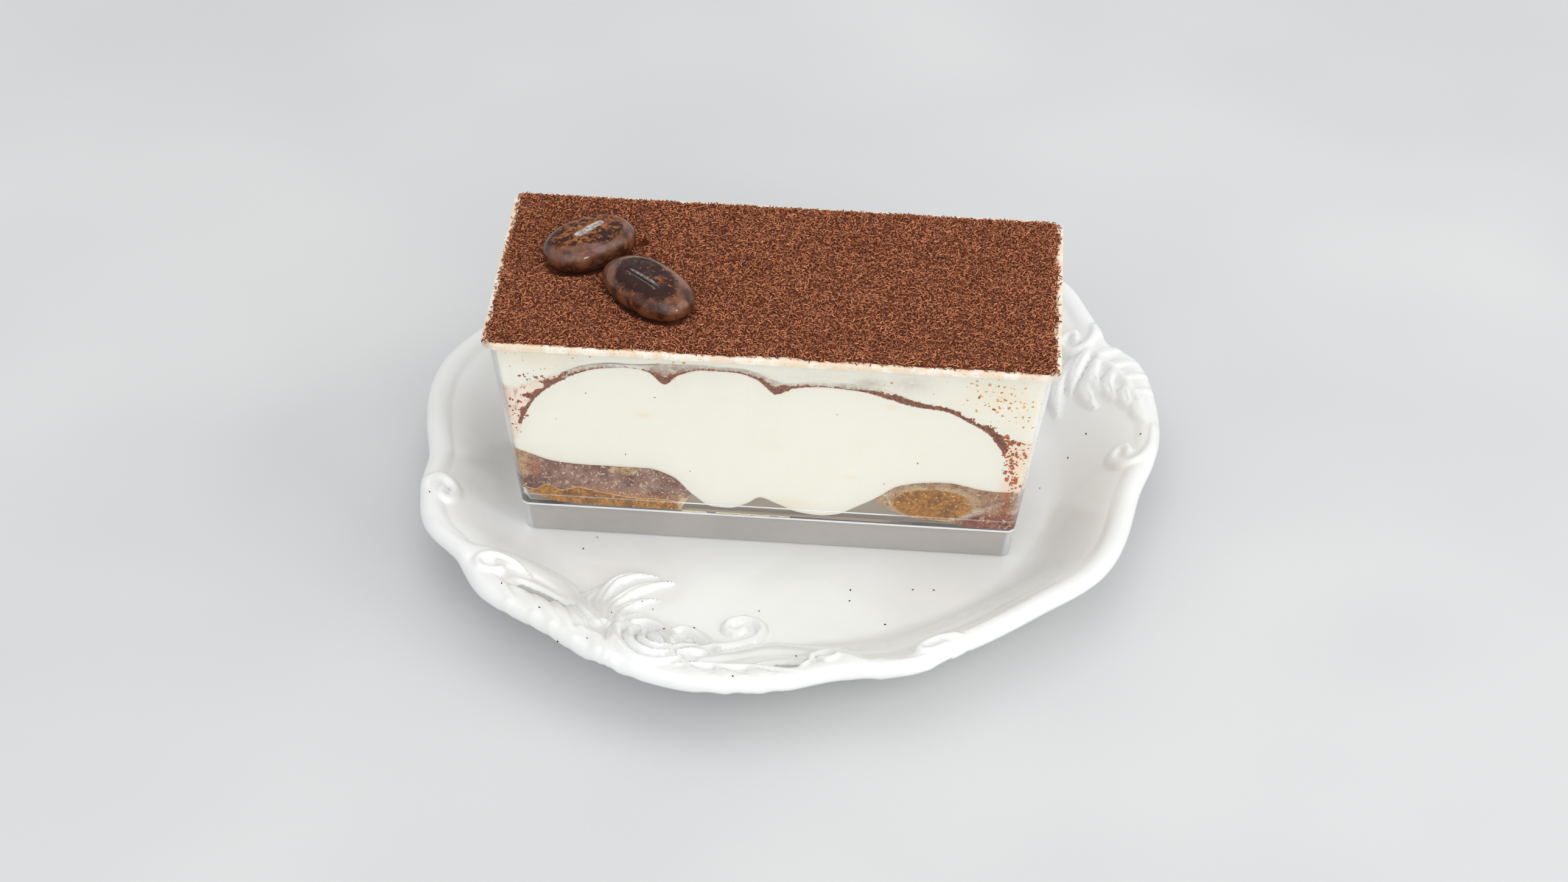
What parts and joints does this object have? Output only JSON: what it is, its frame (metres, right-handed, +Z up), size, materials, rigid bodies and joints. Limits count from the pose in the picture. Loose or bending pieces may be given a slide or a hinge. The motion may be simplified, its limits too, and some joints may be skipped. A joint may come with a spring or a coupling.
{
  "type": "tiramisu portion",
  "caption": "Layered tiramisu in a clear tapered dessert box, dusted with cocoa and topped with chocolate coffee beans, standing on a lobed white porcelain plate.",
  "frame": {"origin": "middle of the plate's extent, on the table plane that the plate's foot ring stands on", "axes": "+X along the box's length towards the end away from the beans, +Y away from the front of the plate, +Z up"},
  "size_m": [0.176, 0.1902, 0.0722],
  "materials": {
    "porcelain": "white glaze",
    "clear_plastic": "clear, glossy",
    "sponge": "soaked ladyfinger sponge",
    "cream": "smooth mascarpone cream",
    "cocoa": "dry cocoa powder",
    "chocolate": "polished dark chocolate"
  },
  "bodies": {
    "root": {"plate": "porcelain", "box": "clear_plastic", "ladyfinger_left": "sponge", "ladyfinger_right": "sponge", "cream_lower": "cream", "cocoa_layer": "cocoa", "cream_upper": "cream", "cocoa_top": "cocoa", "bean_1": "chocolate", "bean_2": "chocolate"}
  },
  "joints": []
}
